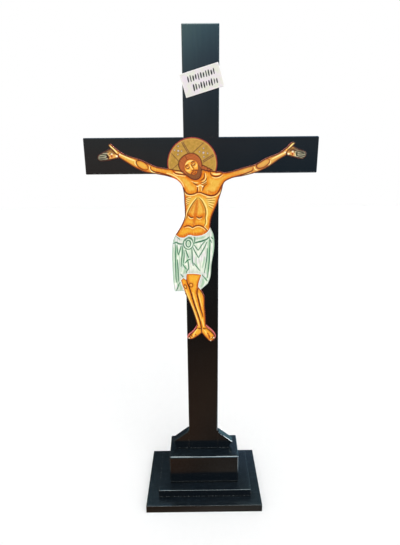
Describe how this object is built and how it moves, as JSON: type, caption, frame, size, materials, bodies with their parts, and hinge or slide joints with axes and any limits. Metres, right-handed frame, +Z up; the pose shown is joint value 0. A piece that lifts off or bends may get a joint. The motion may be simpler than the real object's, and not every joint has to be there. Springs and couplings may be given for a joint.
{
  "type": "church cross",
  "caption": "Standing painted wooden cross on a stepped foot, with a flat sawn and painted figure panel and a tilted title board.",
  "frame": {"origin": "on the floor under the middle of the base slab", "axes": "+Z up along the upright, X along the crossbar, the painted front faces -Y"},
  "size_m": [0.544, 0.216, 1.22],
  "materials": {
    "black_paint": "gloss",
    "figure_paint": "satin",
    "title_paint": "satin"
  },
  "bodies": {
    "root": {"base_slab": "black_paint", "middle_slab": "black_paint", "pedestal_block": "black_paint", "upright": "black_paint", "crossbar": "black_paint", "bracket_left": "black_paint", "bracket_right": "black_paint", "figure_panel": "figure_paint", "title_board": "title_paint"}
  },
  "joints": []
}
